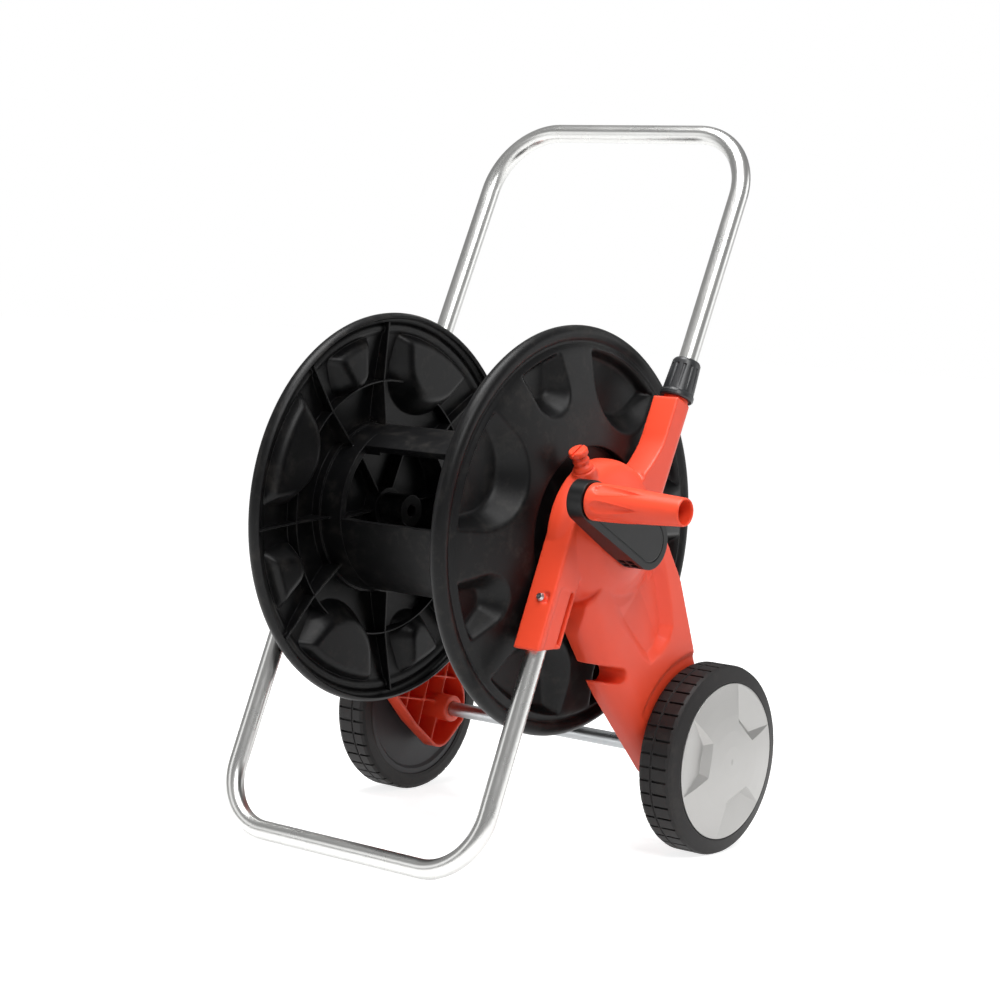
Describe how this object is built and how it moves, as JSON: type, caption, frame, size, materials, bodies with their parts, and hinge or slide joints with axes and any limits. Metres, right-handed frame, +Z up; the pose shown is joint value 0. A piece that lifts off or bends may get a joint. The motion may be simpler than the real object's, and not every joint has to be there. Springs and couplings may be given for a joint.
{
  "type": "hose reel cart",
  "caption": "Wheeled garden hose cart: crank-driven reel with scooped flanges and split drum between ribbed side frames, U stand and telescopic handle.",
  "frame": {"origin": "the point of the floor under the middle of the reel's axis", "axes": "+X towards the crank, +Y back towards the wheels and handle, +Z up"},
  "size_m": [0.5745, 0.464, 0.766],
  "materials": {
    "red_plastic": "moulded, softly glossy red-orange",
    "black_plastic": "moulded, satin black",
    "grey_plastic": "moulded, satin dark grey",
    "tyre_rubber": "moulded tyre, matt black",
    "silver_tube": "drawn tube, satin silver",
    "steel_hardware": "zinc-plated",
    "seal_rubber": "moulded, matt",
    "silver_cap": "silver-painted moulding, satin"
  },
  "bodies": {
    "frame": {"side_frame_right": "red_plastic", "side_frame_left": "red_plastic", "stand_loop": "silver_tube", "stand_screws": "steel_hardware", "stand_nuts": "steel_hardware", "axle": "steel_hardware", "axle_retainers": "steel_hardware", "axle_washers": "steel_hardware", "inlet_connector": "red_plastic", "inlet_gasket": "seal_rubber", "collet_right": "red_plastic", "collet_left": "red_plastic", "hub_cap_left": "black_plastic"},
    "handle": {"handle_loop": "silver_tube", "handle_end_plugs": "black_plastic"},
    "collar_right": {"lock_collar_right": "black_plastic"},
    "collar_left": {"lock_collar_left": "black_plastic"},
    "reel": {"flange_right": "black_plastic", "flange_left": "black_plastic", "drum_panel_top": "black_plastic", "drum_panel_front": "black_plastic", "drum_panel_rear": "black_plastic", "drum_screws": "steel_hardware", "water_spindle": "black_plastic", "spindle_seals": "seal_rubber", "outlet_elbow": "red_plastic", "left_journal": "black_plastic", "crank_arm": "black_plastic", "crank_roll_pin": "steel_hardware", "grip_pin": "steel_hardware", "grip_screw": "steel_hardware"},
    "grip": {"crank_grip": "red_plastic"},
    "wheel_right": {"tyre_right": "tyre_rubber", "wheel_disc_right": "grey_plastic", "wheel_cap_right": "silver_cap"},
    "wheel_left": {"tyre_left": "tyre_rubber", "wheel_disc_left": "grey_plastic", "wheel_cap_left": "silver_cap"},
    "plug": {"inlet_plug": "red_plastic"}
  },
  "joints": [
    {"name": "reel_spin", "type": "hinge", "parent": "frame", "child": "reel", "pos_m": [0, 0, 0.336], "axis": [1, 0, 0], "continuous": true},
    {"name": "grip_spin", "type": "hinge", "parent": "reel", "child": "grip", "pos_m": [0.227, -0.09996, 0.37946], "axis": [1, 0, 0], "continuous": true},
    {"name": "wheel_right_spin", "type": "hinge", "parent": "frame", "child": "wheel_right", "pos_m": [0.209, 0.154, 0.1], "axis": [1, 0, 0], "continuous": true},
    {"name": "wheel_left_spin", "type": "hinge", "parent": "frame", "child": "wheel_left", "pos_m": [-0.209, 0.154, 0.1], "axis": [1, 0, 0], "continuous": true},
    {"name": "handle_slide", "type": "slide", "parent": "frame", "child": "handle", "axis": [0, 0.3907, 0.9205], "range_m": [-0.18, 0]},
    {"name": "collar_right_twist", "type": "hinge", "parent": "frame", "child": "collar_right", "pos_m": [0.1685, 0.11868, 0.49274], "axis": [0, 0.3907, 0.9205], "range_deg": [0, 90]},
    {"name": "collar_left_twist", "type": "hinge", "parent": "frame", "child": "collar_left", "pos_m": [-0.1685, 0.11868, 0.49274], "axis": [0, 0.3907, 0.9205], "range_deg": [-90, 0]},
    {"name": "inlet_plug_turn", "type": "hinge", "parent": "frame", "child": "plug", "pos_m": [0.17, -0.05193, 0.41911], "axis": [0, -0.5299, 0.848], "range_deg": [0, 720]}
  ]
}
